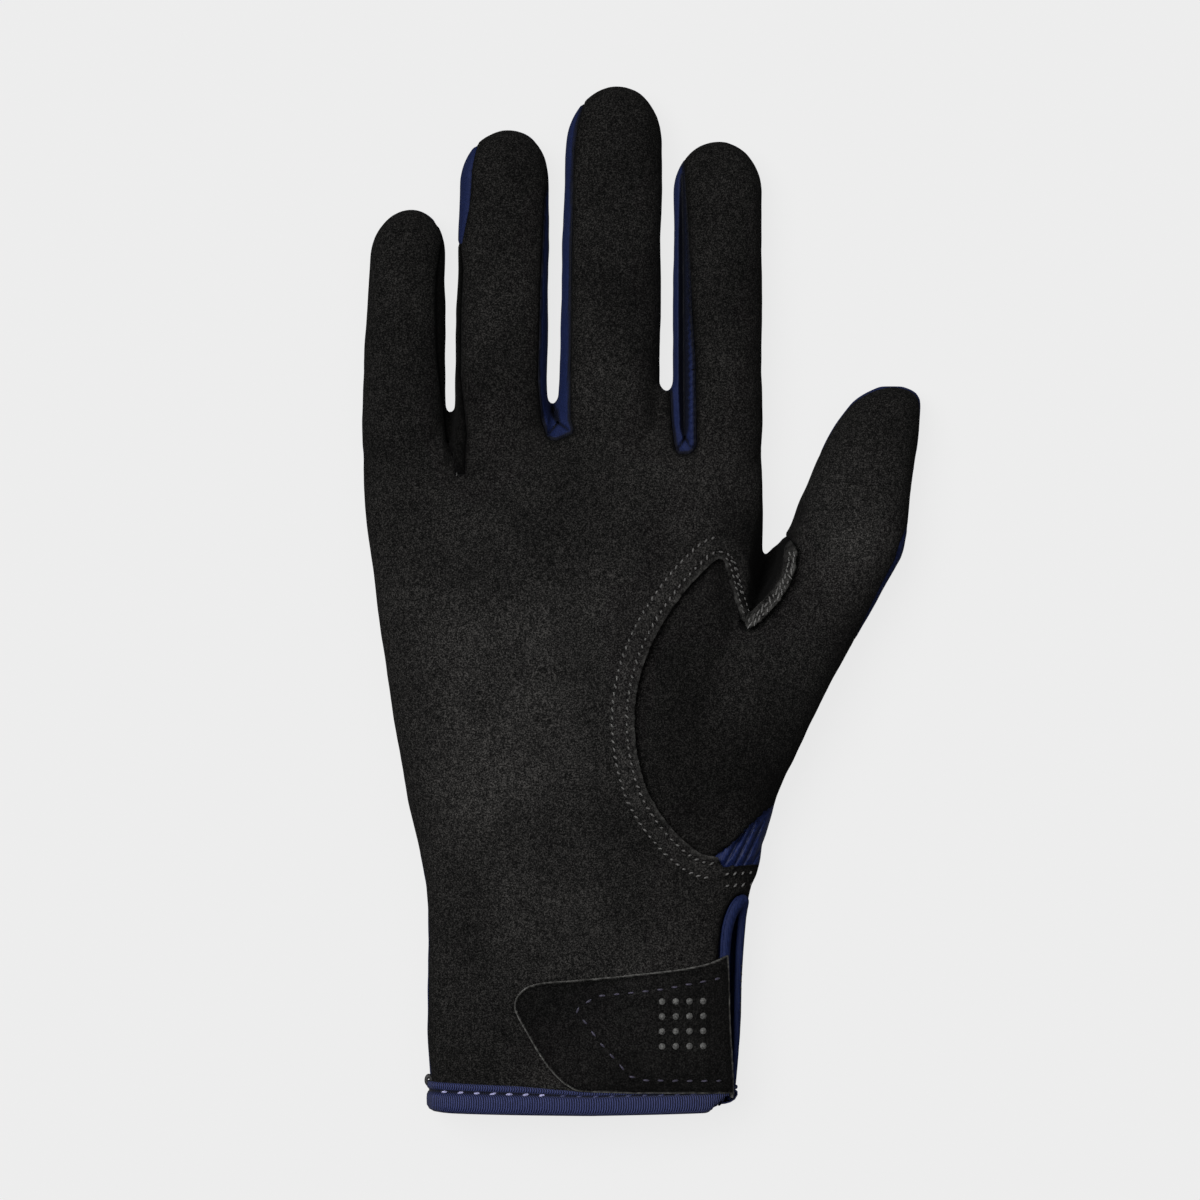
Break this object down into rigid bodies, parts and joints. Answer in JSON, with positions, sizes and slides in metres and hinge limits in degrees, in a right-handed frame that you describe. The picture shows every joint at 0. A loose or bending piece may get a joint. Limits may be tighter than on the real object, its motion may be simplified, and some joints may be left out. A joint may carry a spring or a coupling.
{
  "type": "horse riding glove",
  "caption": "Right-hand riding glove with suede-like palm, stretch-knit back, finger forks, thumb panel, bound hem, wrist vent and hook-and-loop closure tab.",
  "frame": {"origin": "under the middle of the glove's length and width, on the surface that it lies on", "axes": "+Y from the hem to the fingertips, +X to the thumb side, +Z out of the palm"},
  "size_m": [0.1276, 0.2346, 0.023],
  "materials": {
    "palm_suede": "black synthetic suede, matt and finely napped",
    "tab_suede": "black synthetic suede, matt and finely napped, with a paler cut edge",
    "back_knit": "navy blue stretch knit, matt with fine ribs",
    "fork_knit": "navy blue stretch knit, matt with fine ribs",
    "gathered_knit": "navy blue stretch knit, gathered",
    "elastic_binding": "navy blue ribbed elastic with a soft sheen",
    "hook_tape": "black hook tape, matt",
    "thread": "black and navy sewing thread",
    "print": "soft grey printed dots"
  },
  "bodies": {
    "root": {"palm_panel": "palm_suede", "back_panel": "back_knit", "thumb_front": "palm_suede", "thumb_back": "back_knit", "thumb_gusset": "gathered_knit", "rein_patch": "palm_suede", "fork_strip_ring": "fork_knit", "fork_ring_middle": "fork_knit", "fork_middle_index": "fork_knit", "hem_binding": "elastic_binding", "vent_binding": "elastic_binding", "hook_pad": "hook_tape", "closure_tab": "tab_suede"}
  },
  "joints": []
}
